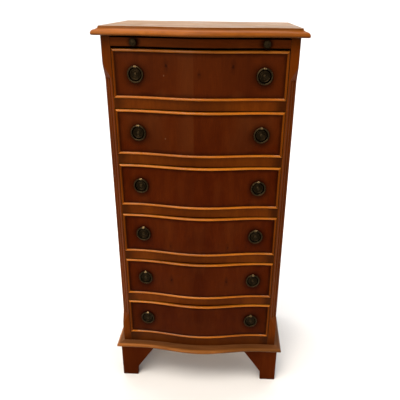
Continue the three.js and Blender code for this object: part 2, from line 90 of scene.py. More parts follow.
class Shader:
    """A material whose nodes are added one by one and end in a Principled BSDF."""

    def __init__(self, name):
        self.material = bpy.data.materials.new(name)
        self.material.use_nodes = True
        self.tree = self.material.node_tree
        self.tree.nodes.clear()

    def node(self, kind, inputs=(), **settings):
        made = self.tree.nodes.new("ShaderNode" + kind)
        for key, value in settings.items():
            setattr(made, key, value)
        for key, value in dict(inputs).items():
            if isinstance(value, bpy.types.NodeSocket):
                self.tree.links.new(value, made.inputs[key])
            else:
                made.inputs[key].default_value = value
        return made

    def math(self, operation, a, b=0.0):
        return self.node("Math", {0: a, 1: b}, operation=operation).outputs[0]

    def mix(self, factor, a, b, blend="MIX"):
        made = self.node("Mix", {0: factor, 6: a, 7: b}, data_type="RGBA", blend_type=blend)
        return made.outputs[2]

    def remap(self, value, low, high, to_low=0.0, to_high=1.0, smooth=False):
        kind = "SMOOTHSTEP" if smooth else "LINEAR"
        inputs = {"Value": value, "From Min": low, "From Max": high, "To Min": to_low, "To Max": to_high}
        return self.node("MapRange", inputs, interpolation_type=kind).outputs[0]

    def fade(self, value, low, high, to_low, to_high):
        """Goes softly from to_low, at low, to to_high, at high."""
        return self.remap(value, low, high, to_low, to_high, smooth=True)

    def noise(self, vector, scale, detail=2.0, roughness=0.5, distortion=0.0):
        inputs = {
            "Vector": vector,
            "Scale": scale,
            "Detail": detail,
            "Roughness": roughness,
            "Distortion": distortion,
        }
        return self.node("TexNoise", inputs).outputs[0]

    def scaled(self, vector, scale, shift=(0, 0, 0)):
        return self.node("Mapping", {"Vector": vector, "Scale": scale, "Location": shift}).outputs[0]

    def stray(self, vector, scale, reach):
        """An uneven shift of up to reach either way, so that no border runs dead straight."""
        return self.remap(self.noise(vector, scale), 0.3, 0.7, -reach, reach)

    def gray(self, value):
        """A number as a colour."""
        return self.node("CombineXYZ", {0: value, 1: value, 2: value}).outputs[0]

    def place(self):
        """Object coordinates, and their three parts."""
        vector = self.node("TexCoord").outputs["Object"]
        parts = self.node("SeparateXYZ", {0: vector}).outputs
        return vector, parts[0], parts[1], parts[2]

    def bow(self, x, depth):
        """How far a serpentine front stands forward at x."""
        share = self.math("MINIMUM", self.math("ABSOLUTE", x), BOW_HALF_WIDTH)
        turn = self.math("MULTIPLY", share, math.pi / BOW_HALF_WIDTH)
        return self.math("MULTIPLY", self.math("ADD", self.math("COSINE", turn), 1.0), depth / 2)

    def painted_shade_halo(self, across, up, center, near, far, darkest, wobble=0.0):
        """Painted shade: 1 away from a fitting, and down to darkest close round it."""
        dx = self.math("SUBTRACT", across, center[0])
        dz = self.math("SUBTRACT", up, center[1])
        squares = self.math("ADD", self.math("MULTIPLY", dx, dx), self.math("MULTIPLY", dz, dz))
        reach = self.math("ADD", self.math("SQRT", squares), wobble)
        return self.fade(reach, near, far, darkest, 1.0)

    def times(self, color, factor):
        """Colour darkened or lightened by a number."""
        return self.mix(1.0, color, self.gray(factor), "MULTIPLY")

    def finish(self, color, roughness, height, bump=0.15, distance=0.4 * MM, rounding=0.6 * MM, **sockets):
        """Ends in a BSDF with softened edges and a bump from height."""
        rounded = self.node("Bevel", {"Radius": rounding}, samples=4).outputs[0]
        normal = self.node(
            "Bump",
            {"Strength": bump, "Distance": distance, "Height": height, "Normal": rounded},
        ).outputs[0]
        inputs = {"Base Color": color, "Roughness": roughness, "Normal": normal}
        inputs.update(sockets)
        bsdf = self.node("BsdfPrincipled", inputs)
        out = self.node("OutputMaterial")
        self.tree.links.new(bsdf.outputs[0], out.inputs[0])
        return self.material

    def shade_and_dirt_in_corners(self, reach, darkest, lightest=1.0):
        """Lightest in the open, and down to darkest in corners: painted shade that also stands for dirt and
        old polish.
        """
        open_share = self.node("AmbientOcclusion", {"Distance": reach}, samples=6).outputs["AO"]
        return self.remap(open_share, 0.25, 0.9, darkest * lightest, lightest)

    def worn_edge(self, radius, strength):
        """0 on a flat, and up to strength along outer edges that hands and dusters rub."""
        rounded = self.node("Bevel", {"Radius": radius}, samples=4).outputs[0]
        flat = self.node("NewGeometry").outputs["Normal"]
        turn = self.node("VectorMath", {0: rounded, 1: flat}, operation="DOT_PRODUCT").outputs["Value"]
        return self.remap(turn, 0.98, 0.75, 0.0, strength)


# Grain is stretched along one axis, by shrinking the coordinate along it
GRAIN_UP = (1.0, 1.0, 0.055)
GRAIN_ACROSS = (0.055, 1.0, 1.0)
GRAIN_BACK = (1.0, 0.055, 1.0)


def wood_color(sh, vector, stretch, dark, mid, light, seed, figure_scale=26.0, fibre_scale=330.0):
    """Colour and height of plain grain that runs along the axis that stretch shrinks."""
    long = sh.scaled(vector, stretch, (seed, seed * 0.7, seed * 0.3))
    warp = sh.node("TexNoise", {"Vector": long, "Scale": 7.0, "Detail": 2.0}).outputs[1]
    offset = sh.node("VectorMath", {0: warp, 1: (-0.5, -0.5, -0.5)}, operation="ADD").outputs[0]
    bent = sh.node("VectorMath", {0: offset, 1: (0.05,) * 3, 2: long}, operation="MULTIPLY_ADD").outputs[0]
    figure = sh.noise(bent, figure_scale, detail=5.0, roughness=0.62, distortion=0.5)
    fibre = sh.noise(long, fibre_scale, detail=3.0, roughness=0.6)
    patch = sh.noise(vector, 6.5, distortion=0.4)
    tone = sh.node("ValToRGB", {0: sh.remap(figure, 0.3, 0.72)})
    ramp = tone.color_ramp
    ramp.elements[0].color = (*dark, 1)
    ramp.elements[1].color = (*light, 1)
    middle = ramp.elements.new(0.48)
    middle.color = (*mid, 1)
    shade = sh.math("MULTIPLY", sh.remap(fibre, 0.3, 0.7, 0.88, 1.1), sh.remap(patch, 0.3, 0.7, 0.86, 1.14))
    color = sh.times(tone.outputs[0], shade)
    relief = sh.math("ADD", sh.math("MULTIPLY", figure, 0.35), sh.math("MULTIPLY", fibre, 0.65))
    return color, relief


def spot(sh, across, along, x, z, wide, tall):
    """1 at a point of the veneer, and 0 from wide across and tall along the grain."""
    dx = sh.math("DIVIDE", sh.math("SUBTRACT", across, x), wide)
    dz = sh.math("DIVIDE", sh.math("SUBTRACT", along, z), tall)
    far = sh.math("ADD", sh.math("MULTIPLY", dx, dx), sh.math("MULTIPLY", dz, dz))
    return sh.fade(far, 0.0, 1.0, 1.0, 0.0)


def knots(sh, color, x, z, dark):
    """Small dark pips with a soft streak above and below, mirrored as the veneer is."""
    vector = sh.place()[0]
    stray = sh.remap(sh.noise(vector, 160.0, detail=3.0), 0.0, 1.0, -3 * MM, 3 * MM)
    across = sh.math("ADD", sh.math("ABSOLUTE", x), stray)
    total = 0.0
    for at, height, size, strength in KNOTS:
        pip = spot(sh, across, z, at, height, size, size * 1.6)
        streak = spot(sh, across, z, at, height, size * 2.4, size * 7)
        part = sh.math("MULTIPLY", sh.math("ADD", pip, sh.math("MULTIPLY", streak, 0.55)), strength)
        total = sh.math("ADD", part, total)
    return sh.mix(sh.math("MINIMUM", total, 0.9), color, (*dark, 1))


def polished(sh, color, relief, gloss=0.34, wear=0.35, grime=0.42, **sockets):
    """Old satin polish: darker in corners by painted shade that also stands for grime, paler on rubbed
    edges, a little uneven in gloss.
    """
    vector = sh.node("TexCoord").outputs["Object"]
    color = sh.mix(sh.worn_edge(1.1 * MM, wear), color, (*PALE_EDGE, 1))
    # Painted shade, also standing for grime, darkens the corners
    color = sh.times(color, sh.shade_and_dirt_in_corners(14 * MM, grime))
    smear = sh.noise(vector, 14.0, detail=3.0, roughness=0.6, distortion=0.8)
    rough = sh.remap(smear, 0.3, 0.7, gloss - 0.05, gloss + 0.07)
    rough = sh.math("ADD", rough, sh.stray(vector, 210.0, 0.02))
    settings = {"IOR": 1.45, "Specular IOR Level": 0.1, "Specular Tint": WARM_GLOSS}
    settings.update(sockets)
    return sh.finish(color, rough, relief, bump=0.12, **settings)


# Woods


def tones(dark, mid, light):
    """The three tones that the figure of one wood runs through."""
    return {"dark": dark, "mid": mid, "light": light}


PANEL = tones((0.0390, 0.0046, 0.0003), (0.0540, 0.0072, 0.0005), (0.0710, 0.0112, 0.0010))
RAIL = tones((0.0739, 0.0134, 0.0006), (0.0924, 0.0181, 0.0008), (0.1142, 0.0252, 0.0014))
POST = tones((0.0800, 0.0140, 0.0006), (0.1000, 0.0190, 0.0009), (0.1240, 0.0265, 0.0015))
BEAD = tones((0.2859, 0.0778, 0.0028), (0.3965, 0.1210, 0.0050), (0.5072, 0.1703, 0.0091))
SHADED_UPRIGHT_BEAD = tones((0.0860, 0.0165, 0.0006), (0.1180, 0.0250, 0.0009), (0.1500, 0.0360, 0.0014))
MOULDING = tones((0.1736, 0.0426, 0.0029), (0.2408, 0.0672, 0.0056), (0.3136, 0.0986, 0.0112))
BASE = tones((0.1857, 0.0567, 0.0076), (0.2562, 0.0858, 0.0141), (0.3331, 0.1228, 0.0242))
LEDGE = tones((0.0750, 0.0236, 0.0056), (0.1090, 0.0381, 0.0109), (0.1536, 0.0616, 0.0210))
SLIDE = tones((0.0420, 0.0068, 0.0008), (0.0640, 0.0115, 0.0014), (0.0900, 0.0190, 0.0028))
DARK = tones((0.0400, 0.0058, 0.0006), (0.0600, 0.0098, 0.0010), (0.0850, 0.0165, 0.0020))
TOP = tones((0.1746, 0.0795, 0.0178), (0.2377, 0.1115, 0.0277), (0.3104, 0.1552, 0.0428))
LINING = tones((0.330, 0.1850, 0.0800), (0.450, 0.2700, 0.1250), (0.560, 0.3600, 0.1850))
BOARD = tones((0.230, 0.1250, 0.0520), (0.320, 0.1800, 0.0800), (0.420, 0.2500, 0.1200))
FOOT = tones((0.0470, 0.0066, 0.0006), (0.0560, 0.0086, 0.0008), (0.0650, 0.0112, 0.0012))
PIP = (0.0140, 0.0028, 0.0008)
HAZE_AND_REFLECTION = (0.0850, 0.0220, 0.0050)
NICKED = (0.2200, 0.1100, 0.0600)
WARM_GLOSS = (1.0, 0.62, 0.34, 1.0)
PALE_EDGE = (0.3200, 0.1100, 0.0200)

# Knots in the veneer: distance from the middle, height, radius, strength
KNOTS = [
    (80 * MM, 946 * MM, 3.4 * MM, 0.6),
    (1.2 * MM, 928 * MM, 2.0 * MM, 0.5),
    (79 * MM, 469 * MM, 2.8 * MM, 0.5),
    (131 * MM, 469 * MM, 2.4 * MM, 0.3),
    (79 * MM, 360 * MM, 3.2 * MM, 0.6),
]

# Pale nicks in the polish: place across and height
NICKS = [(-86 * MM, 923 * MM), (-86 * MM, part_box("pull_plate_2_left")[0].z + 7 * MM)]


def plain_wood(name, shades, stretch, seed, **polish):
    """Polished wood of one kind, with the grain along one axis."""
    sh = Shader(name)
    vector = sh.place()[0]
    color, relief = wood_color(sh, vector, stretch, seed=seed, **shades)
    return polished(sh, color, relief, **polish)


def unpolished(name, shades, stretch, seed):
    """Bare wood of the hidden parts: dull, with open grain."""
    sh = Shader(name)
    vector = sh.place()[0]
    color, relief = wood_color(sh, vector, stretch, seed=seed, figure_scale=17.0, **shades)
    # Painted shade, also standing for dirt, darkens the corners of the hidden boards
    color = sh.times(color, sh.shade_and_dirt_in_corners(20 * MM, 0.55))
    rough = sh.remap(sh.noise(vector, 30.0, detail=3.0), 0.3, 0.7, 0.6, 0.74)
    return sh.finish(color, rough, relief, bump=0.3, distance=0.5 * MM, **{"Specular IOR Level": 0.3})


def front_veneer(sh, x, z):
    """Book-matched yew under a hazy polish, with a painted reflection, knots and nicks."""
    # The veneer is folded about the middle, so its figure is mirrored
    folded = sh.node("CombineXYZ", {0: sh.math("ABSOLUTE", x), 1: 0.0, 2: z}).outputs[0]
    veneer, relief = wood_color(sh, folded, (1.0, 1.0, 0.14), seed=1.3, figure_scale=15.0, **PANEL)
    streaked = sh.scaled(folded, (1.0, 1.0, 0.45))
    mottle = sh.noise(streaked, 26.0, detail=3.0, roughness=0.6, distortion=0.9)
    veneer = sh.mix(sh.remap(mottle, 0.5, 0.72, 0.0, 0.45), veneer, (*PANEL["dark"], 1))
    veneer = sh.mix(sh.remap(mottle, 0.48, 0.3, 0.0, 0.4), veneer, (*PANEL["light"], 1))
    billow = sh.noise(sh.scaled(folded, (1.0, 1.0, 0.7), (0.4, 0, 0.2)), 11.0, distortion=0.6)
    cloud = sh.remap(billow, 0.52, 0.72, 0.0, 0.4)
    # The paler haze is stronger the higher the drawer
    cloud = sh.math("MULTIPLY", cloud, sh.remap(z, 200 * MM, 900 * MM, 0.3, 1.0))
    cloud = sh.math("ADD", cloud, sh.remap(z, 720 * MM, 950 * MM, 0.0, 0.2))
    # A painted reflection, paler, lies left of the middle of the two upper fronts
    painted_reflection = sh.fade(x, -85 * MM, -25 * MM, 0.0, 0.42)
    painted_reflection = sh.math("MULTIPLY", painted_reflection, sh.remap(x, -12 * MM, -15 * MM))
    painted_reflection = sh.math("MULTIPLY", painted_reflection, sh.remap(z, 700 * MM, 760 * MM, 0.15, 1.0))
    veneer = sh.mix(sh.math("MAXIMUM", cloud, painted_reflection), veneer, (*HAZE_AND_REFLECTION, 1))
    # The lowest fronts are painted darker: painted shade of light that falls off downwards
    veneer = sh.times(veneer, sh.remap(z, 100 * MM, 500 * MM, 0.78, 1.0))
    veneer = knots(sh, veneer, x, z, PIP)
    for at, height in NICKS:
        nick = spot(sh, x, z, at, height, 1.8 * MM, 2.6 * MM)
        veneer = sh.mix(sh.math("MULTIPLY", nick, 0.4), veneer, (*NICKED, 1))
    return veneer, relief


def front_bead(sh, vector, z, inset, along):
    """Cock-bead whose grain runs along it: level where along is 0, upright where it is 1."""
    # The upright beads take darker tones than the level ones: painted shade, as the light falls from above
    lit_level_grain, _ = wood_color(sh, vector, GRAIN_ACROSS, seed=2.1, **BEAD)
    shaded_upright_grain, _ = wood_color(sh, vector, GRAIN_UP, seed=2.9, **SHADED_UPRIGHT_BEAD)
    bead = sh.mix(along, lit_level_grain, shaded_upright_grain)
    # Painted shading of the round bead: paler along its crown and darker in the corners at its two sides
    crown = sh.math("ABSOLUTE", sh.math("SUBTRACT", inset, BEAD_WIDTH * 0.5))
    bead = sh.times(bead, sh.fade(crown, BEAD_WIDTH * 0.18, BEAD_WIDTH * 0.5, 1.0, 0.62))
    # The uppermost bead is painted darker, as a painted shadow of the top
    return sh.times(bead, sh.fade(z, SLIDE_FOOT - 14 * MM, SLIDE_FOOT - 8 * MM, 1.0, 0.55))


def drawer_front_wood():
    """Veneer inside a paler bead, on a core of lining wood."""
    sh = Shader("yew_front")
    vector, x, y, z = sh.place()
    generated = sh.node("TexCoord").outputs["Generated"]
    up = sh.math("MULTIPLY", sh.node("SeparateXYZ", {0: generated}).outputs[2], DRAWER_HEIGHT)
    side = sh.math("ABSOLUTE", x)
    from_side = sh.math("SUBTRACT", DRAWER_HALF, side)
    from_end = sh.math("MINIMUM", up, sh.math("SUBTRACT", DRAWER_HEIGHT, up))
    inset = sh.math("MINIMUM", from_side, from_end)
    veneer, relief = front_veneer(sh, x, z)
    # Painted shade, partly standing for old polish, darkens the veneer inside the bead and round the pulls
    wobble = sh.stray(vector, 45.0, 2.2 * MM)
    close = sh.fade(sh.math("ADD", inset, wobble), BEAD_WIDTH, BEAD_WIDTH + 11 * MM, 0.5, 1.0)
    painted_shade_halo = sh.painted_shade_halo(side, up, (PULL_X, DRAWER_HEIGHT / 2 - 2 * MM), 19 * MM, 38 * MM, 0.6, wobble)
    veneer = sh.times(veneer, sh.math("MULTIPLY", close, painted_shade_halo))
    along = sh.math("GREATER_THAN", from_end, from_side)
    bead = front_bead(sh, vector, z, inset, along)
    edge = sh.remap(inset, BEAD_WIDTH - 0.25 * MM, BEAD_WIDTH + 0.15 * MM)
    color = sh.mix(edge, bead, veneer)
    # Behind the bead's strip the core shows, and the edges round the front are stained dark, which also
    # paints the shade in the gaps round the drawer
    core, _ = wood_color(sh, vector, GRAIN_ACROSS, seed=4.4, **LINING)
    depth = sh.math("ADD", sh.math("SUBTRACT", y, FACE_Y), sh.bow(x, DRAWER_BOW))
    color = sh.mix(sh.math("GREATER_THAN", depth, BEAD_STRIP_DEPTH), color, core)
    on_edge = sh.math("LESS_THAN", inset, 0.4 * MM)
    stain_and_gap_shade = sh.math("MULTIPLY", on_edge, sh.remap(depth, 0.0, 4 * MM))
    color = sh.mix(stain_and_gap_shade, color, (*DARK["dark"], 1))
    # The level beads are the glossiest
    level = sh.math("MULTIPLY", sh.math("SUBTRACT", 1.0, along), sh.math("SUBTRACT", 1.0, on_edge))
    coat = sh.math("MULTIPLY", sh.remap(edge, 0.0, 1.0, 0.4, 0.02), sh.remap(level, 0.0, 1.0, 0.08, 1.0))
    shine = {
        "Specular IOR Level": 0.03,
        "Coat Weight": coat,
        "Coat Roughness": 0.2,
        "Coat Tint": (1.0, 0.8, 0.5, 1.0),
    }
    return polished(sh, color, relief, gloss=0.36, wear=0.12, grime=0.35, **shine)


def post_wood():
    """Yew, darker at both ends: over the base, and under the top as a painted shadow of its overhang."""
    sh = Shader("yew_post")
    vector, _, _, z = sh.place()
    color, relief = wood_color(sh, vector, GRAIN_UP, seed=11.2, **POST)
    level = sh.math("ADD", z, sh.stray(vector, 40.0, 6 * MM))
    foot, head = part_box("corner_post_left")[0].z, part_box("corner_post_left")[1].z
    low_end = sh.fade(level, foot, foot + 70 * MM, 0.42, 1.0)
    # Painted shadow of the top's overhang on the post's upper end
    shadow_under_top = sh.fade(level, head, head - 45 * MM, 0.6, 1.0)
    ends = sh.math("MINIMUM", low_end, shadow_under_top)
    shine = {"Specular IOR Level": 0.05}
    return polished(sh, sh.times(color, ends), relief, gloss=0.33, wear=0.35, **shine)


def rail_wood():
    """Yew on the rail, plain board behind it."""
    sh = Shader("yew_rail")
    vector, x, y, z = sh.place()
    face, relief = wood_color(sh, vector, (1.0, 1.0, 0.2), seed=5.2, figure_scale=18.0, **RAIL)
    # Painted shade, partly standing for dust and old polish, darkens the rail's ends where the posts stand
    # proud
    aside = sh.math("ADD", sh.math("ABSOLUTE", x), sh.stray(vector, 40.0, 5 * MM))
    ends = sh.fade(aside, 176 * MM, 206 * MM, 1.0, 0.45)
    # The rail over the base is darker than the others
    lowest = sh.remap(z, LOWEST_RAIL, LOWEST_RAIL + 1 * MM, 0.62, 1.0)
    face = sh.times(face, sh.math("MULTIPLY", ends, lowest))
    back, _ = wood_color(sh, vector, GRAIN_ACROSS, seed=6.0, **BOARD)
    behind = sh.math("GREATER_THAN", y, FACE_Y + RAIL_DEPTH - 0.5 * MM)
    return polished(sh, sh.mix(behind, face, back), relief, gloss=0.36)


def slide_front_wood():
    """The slide's dark wood, with painted shade round its knobs."""
    sh = Shader("yew_slide")
    vector, x, y, z = sh.place()
    color, relief = wood_color(sh, vector, GRAIN_ACROSS, seed=15.3, **SLIDE)
    # Painted shade round the knobs on the slide's front
    painted_shade_halo = sh.painted_shade_halo(sh.math("ABSOLUTE", x), z, KNOB_SPOT, 7 * MM, 22 * MM, 0.3)
    on_front = sh.math("LESS_THAN", y, FACE_Y + 8 * MM)
    painted_shade_halo = sh.math("MAXIMUM", painted_shade_halo, sh.math("SUBTRACT", 1.0, on_front))
    shine = {"Specular IOR Level": 0.03}
    return polished(sh, sh.times(color, painted_shade_halo), relief, gloss=0.34, wear=0.2, **shine)


def side_wood():
    """Yew veneer outside, plain board inside."""
    sh = Shader("yew_side")
    vector, x, y, z = sh.place()
    # The veneer is folded about the middle of the side
    folded = sh.node("CombineXYZ", {0: 0.0, 1: sh.math("ABSOLUTE", y), 2: z}).outputs[0]
    face, relief = wood_color(sh, folded, GRAIN_UP, seed=7.7, figure_scale=17.0, **POST)
    inner, _ = wood_color(sh, vector, GRAIN_UP, seed=8.3, **BOARD)
    inside = sh.math("LESS_THAN", sh.math("ABSOLUTE", x), SIDE_INNER + 1 * MM)
    return polished(sh, sh.mix(inside, face, inner), relief, gloss=0.34)


def moulded_wood(name, node, drop, nose_painted_light, flat_tones, edge_tones, stretch, seed, step_tone=None):
    """Wood with a moulded edge. What lies above it, down to a drop under its top, has another tone."""
    sh = Shader(name)
    vector, x, _, z = sh.place()
    low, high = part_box(node)
    flat, relief = wood_color(sh, vector, stretch, seed=seed, figure_scale=22.0, **flat_tones)
    edge, _ = wood_color(sh, vector, stretch, seed=seed + 0.5, **edge_tones)
    # The nose is painted lighter towards the left and darker towards the right, as painted light from the
    # left
    edge = sh.times(edge, sh.remap(x, -180 * MM, 180 * MM, *nose_painted_light))
    on_flat = sh.remap(z, high.z - drop - 0.3 * MM, high.z - drop + 0.3 * MM)
    color = sh.mix(on_flat, edge, flat)
    # Painted shade darkens the lowest 7 mm, under the nose
    color = sh.times(color, sh.fade(z, low.z, low.z + 7 * MM, 0.38, 1.0))
    if step_tone is not None:
        # The small step round the flat is darker
        on_step = sh.remap(z, high.z - 7 * MM, high.z - 4 * MM)
        on_step = sh.math("MULTIPLY", on_step, sh.math("SUBTRACT", 1.0, on_flat))
        color = sh.times(color, sh.remap(on_step, 0.0, 1.0, 1.0, step_tone))
    shine = {
        "Specular IOR Level": sh.remap(on_flat, 0.0, 1.0, 0.16, 0.05),
        "Specular Tint": (1.0, 0.85, 0.7, 1.0),
    }
    return polished(sh, color, relief, gloss=0.34, wear=0.2, **shine)


# Brass


def aged_brass(name, rubbed, dull=0.0, strength=1.0):
    """Dark lacquered brass, bare and bright where it is handled; strength sets its tone and paints
    highlights on the lug and boss.
    """
    sh = Shader(name)
    vector = sh.place()[0]
    mottle = sh.noise(vector, 320.0, detail=4.0, roughness=0.6, distortion=0.4)
    color = sh.mix(sh.remap(mottle, 0.35, 0.65), (0.017, 0.011, 0.005, 1), (0.048, 0.031, 0.014, 1))
    color = sh.mix(sh.worn_edge(1.6 * MM, rubbed), color, (0.260, 0.185, 0.090, 1))
    # Painted shade and patina darken the hollows; strength scales the whole tone, a painted highlight on
    # lug and boss
    color = sh.times(color, sh.shade_and_dirt_in_corners(5 * MM, 0.16, strength))
    rough = sh.noise(vector, 150.0, detail=3.0, roughness=0.6)
    rough = sh.remap(rough, 0.3, 0.7, 0.34 + dull, 0.52 + dull)
    return sh.finish(color, rough, mottle, bump=0.25, distance=0.15 * MM, rounding=0.3 * MM, Metallic=1.0)


# What each node wears

brass = aged_brass("aged_brass", rubbed=0.35, strength=0.5)
brass_ring = aged_brass("aged_brass_ring", rubbed=1.0, strength=1.05)
# The lug's and the boss's brass is painted lighter than the plate's, as painted highlights
lug_brass_painted_highlight = aged_brass("aged_lug_brass_painted_highlight", rubbed=1.0, strength=3.5)
boss_brass_painted_highlight = aged_brass("aged_boss_brass_painted_highlight", rubbed=0.6, strength=0.95)
brass_knob = aged_brass("aged_brass_knob", rubbed=0.1, dull=0.2, strength=0.7)
front_wood = drawer_front_wood()
rail = rail_wood()
# The flat of the top has faded, and the ledge of the base moulding has gathered dirt
TOP_LOOKS = {
    "node": "top_board",
    "drop": 0.4 * MM,
    "nose_painted_light": (1.06, 0.94),
    "flat_tones": TOP,
    "edge_tones": MOULDING,
    "step_tone": 0.6,
}
BASE_LOOKS = {
    "node": "base_moulding_front",
    "drop": 4.6 * MM,
    "nose_painted_light": (1.15, 0.45),
    "flat_tones": LEDGE,
    "edge_tones": BASE,
}
top_wood = moulded_wood("yew_top", stretch=GRAIN_ACROSS, seed=9.1, **TOP_LOOKS)
moulding_across = moulded_wood("yew_moulding", stretch=GRAIN_ACROSS, seed=12.5, **BASE_LOOKS)
moulding_back = moulded_wood("yew_moulding_side", stretch=GRAIN_BACK, seed=13.1, **BASE_LOOKS)
FOOT_POLISH = {"gloss": 0.38, "wear": 0.3, "Specular IOR Level": 0.02}
# The bed under the slide is darkened almost to black in its corners: painted shade, also standing for grime
BED_POLISH = {"grime": 0.05, "Specular IOR Level": 0.0}
feet = plain_wood("yew_foot", FOOT, GRAIN_UP, seed=14.8, **FOOT_POLISH)
bed_wood = plain_wood("yew_bed", DARK, GRAIN_ACROSS, seed=18.4, **BED_POLISH)
lining = unpolished("lining_wood", LINING, GRAIN_ACROSS, seed=16.7)
board = unpolished("board_wood", BOARD, GRAIN_UP, seed=17.9)

# The first name that a node's name starts with gives its material
WEARS = [
    ("top_board", top_wood),
    ("side_panel", side_wood()),
    ("corner_post", post_wood()),
    ("base_moulding_front", moulding_across),
    ("base_moulding", moulding_back),
    ("foot_", feet),
    ("back_panel", board),
    ("bottom_board", rail),
    ("drawer_divider", rail),
    ("slide_bed", bed_wood),
    ("brushing_slide", slide_front_wood()),
    ("drawer_front", front_wood),
    ("drawer_box", lining),
    ("pull_ring", brass_ring),
    ("pull_plate", brass),
    ("slide_knob", brass_knob),
]

# Edges sharper than this stay sharp. The limit is higher on drawer fronts, so that their beads stay soft
SHARP = math.radians(38)
FRONT_SHARP = math.radians(56)


def smooth_by_angle(limit):
    """A node group that smooths a mesh and keeps edges sharper than limit."""
    tree = bpy.data.node_groups.new("smooth_by_angle", "GeometryNodeTree")
    tree.interface.new_socket("Geometry", in_out="INPUT", socket_type="NodeSocketGeometry")
    tree.interface.new_socket("Geometry", in_out="OUTPUT", socket_type="NodeSocketGeometry")
    start, end = tree.nodes.new("NodeGroupInput"), tree.nodes.new("NodeGroupOutput")
    faces = tree.nodes.new("GeometryNodeSetShadeSmooth")
    faces.domain = "FACE"
    faces.inputs["Shade Smooth"].default_value = True
    edges = tree.nodes.new("GeometryNodeSetShadeSmooth")
    edges.domain = "EDGE"
    edges.inputs["Shade Smooth"].default_value = False
    angle = tree.nodes.new("GeometryNodeInputMeshEdgeAngle")
    over = tree.nodes.new("FunctionNodeCompare")
    over.operation = "GREATER_THAN"
    over.inputs[1].default_value = limit
    link = tree.links.new
    link(angle.outputs[0], over.inputs[0])
    link(over.outputs[0], edges.inputs["Selection"])
    link(start.outputs[0], faces.inputs["Geometry"])
    link(faces.outputs[0], edges.inputs["Geometry"])
    link(edges.outputs[0], end.inputs[0])
    return tree


smooth = smooth_by_angle(SHARP)
smooth_front = smooth_by_angle(FRONT_SHARP)


def dress(obj, material, group):
    """Gives a node its material and smooth shading, and leaves its shape as it is."""
    obj.data.materials.clear()
    obj.data.materials.append(material)
    weld = obj.modifiers.new("weld", "WELD")
    weld.merge_threshold = 0.005 * MM
    shade = obj.modifiers.new("smooth", "NODES")
    shade.node_group = group


for name, obj in nodes.items():
    material = next(m for start, m in WEARS if name.startswith(start))
    dress(obj, material, smooth_front if name.startswith("drawer_front") else smooth)


# Finer fittings


class Builder:
    """Points and faces of one piece, in millimetres in the fitting's own frame."""

    def __init__(self):
        self.points = []
        self.faces = []

    def rings(self, rings):
        """Joins rings of points and closes both ends. A ring of one point is a tip."""
        starts = []
        for ring in rings:
            starts.append((len(self.points), len(ring)))
            self.points.extend(ring)
        for (a, n), (b, m) in zip(starts, starts[1:]):
            count = max(n, m)
            for i in range(count):
                j = (i + 1) % count
                quad = [a + i % n, a + j % n, b + j % m, b + i % m]
                face = list(dict.fromkeys(quad))
                if len(face) > 2:
                    self.faces.append(face)
        for start, n in (starts[0], starts[-1]):
            if n > 2:
                self.faces.append(list(range(start, start + n)))

    def lathe(self, profile, sides):
        """Turns (radius, out) about the fitting's axis, with out along -Y."""
        rings = []
        for radius, out in profile:
            if radius == 0:
                rings.append([(0.0, -out, 0.0)])
                continue
            turns = [2 * math.pi * i / sides for i in range(sides)]
            rings.append([(radius * math.cos(t), -out, radius * math.sin(t)) for t in turns])
        self.rings(rings)

    def bar(self, start, end, radius, sides, ease):
        """A round bar along X, with eased ends."""
        x, y, z = start
        slim = radius - ease
        turns = [2 * math.pi * i / sides for i in range(sides)]
        rings = []
        for at, r in ((x, slim), (x + ease, radius), (end - ease, radius), (end, slim)):
            rings.append([(at, y + r * math.cos(t), z + r * math.sin(t)) for t in turns])
        self.rings(rings)

    def build(self, name, place, material, body, node, rubbed=()):
        """Makes the piece. Each pair in rubbed names a first face and the brass, lighter as a painted
        highlight, that the faces from it on wear.
        """
        mesh = bpy.data.meshes.new(name)
        mesh.from_pydata([place @ (Vector(p) * MM) for p in self.points], [], self.faces)
        mesh.validate()
        mesh.update()
        obj = bpy.data.objects.new(name, mesh)
        scene.collection.objects.link(obj)
        mesh.materials.append(material)
        for index, (first, rubbed_brass) in enumerate(rubbed, 1):
            mesh.materials.append(rubbed_brass)
            for face in mesh.polygons[first:]:
                face.material_index = index
        shade = obj.modifiers.new("smooth", "NODES")
        shade.node_group = smooth
        face_outwards(mesh)
        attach(obj, body)
        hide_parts(node)
        return obj


def face_outwards(mesh):
    """Turns all faces of a closed mesh outwards."""
    work = bmesh.new()
    work.from_mesh(mesh)
    bmesh.ops.recalc_face_normals(work, faces=work.faces)
    work.to_mesh(mesh)
    work.free()


# Ring pull, in millimetres: the same main sizes as the CAD's
RING_RADIUS = 18.0
RING_WIRE = 1.9
RING_STANDOFF = 3.6
RING_GAP = 3.1
PIN_RADIUS = 1.1
PIN_REACH = 1.9
PIN_EASE = 0.2
LUG_WIDTH = 5.0
LUG_RADIUS = 2.5
LUG_EASE = 0.35
LUG_ARC_DEGREES = range(-80, 261, 17)
NECK_RISE = 2.1
NECK_DROP = 4.5
NECK_SUNK = 0.6
NECK_TOP = 0.8
STUD_RADIUS = 2.2
STUD_LENGTH = 11.0
GAP_ANGLE = math.asin(RING_GAP / RING_RADIUS)
PIVOT_HEIGHT = RING_RADIUS * math.cos(GAP_ANGLE)

STUD = [(0, -STUD_LENGTH), (STUD_RADIUS, -STUD_LENGTH), (STUD_RADIUS, 0)]

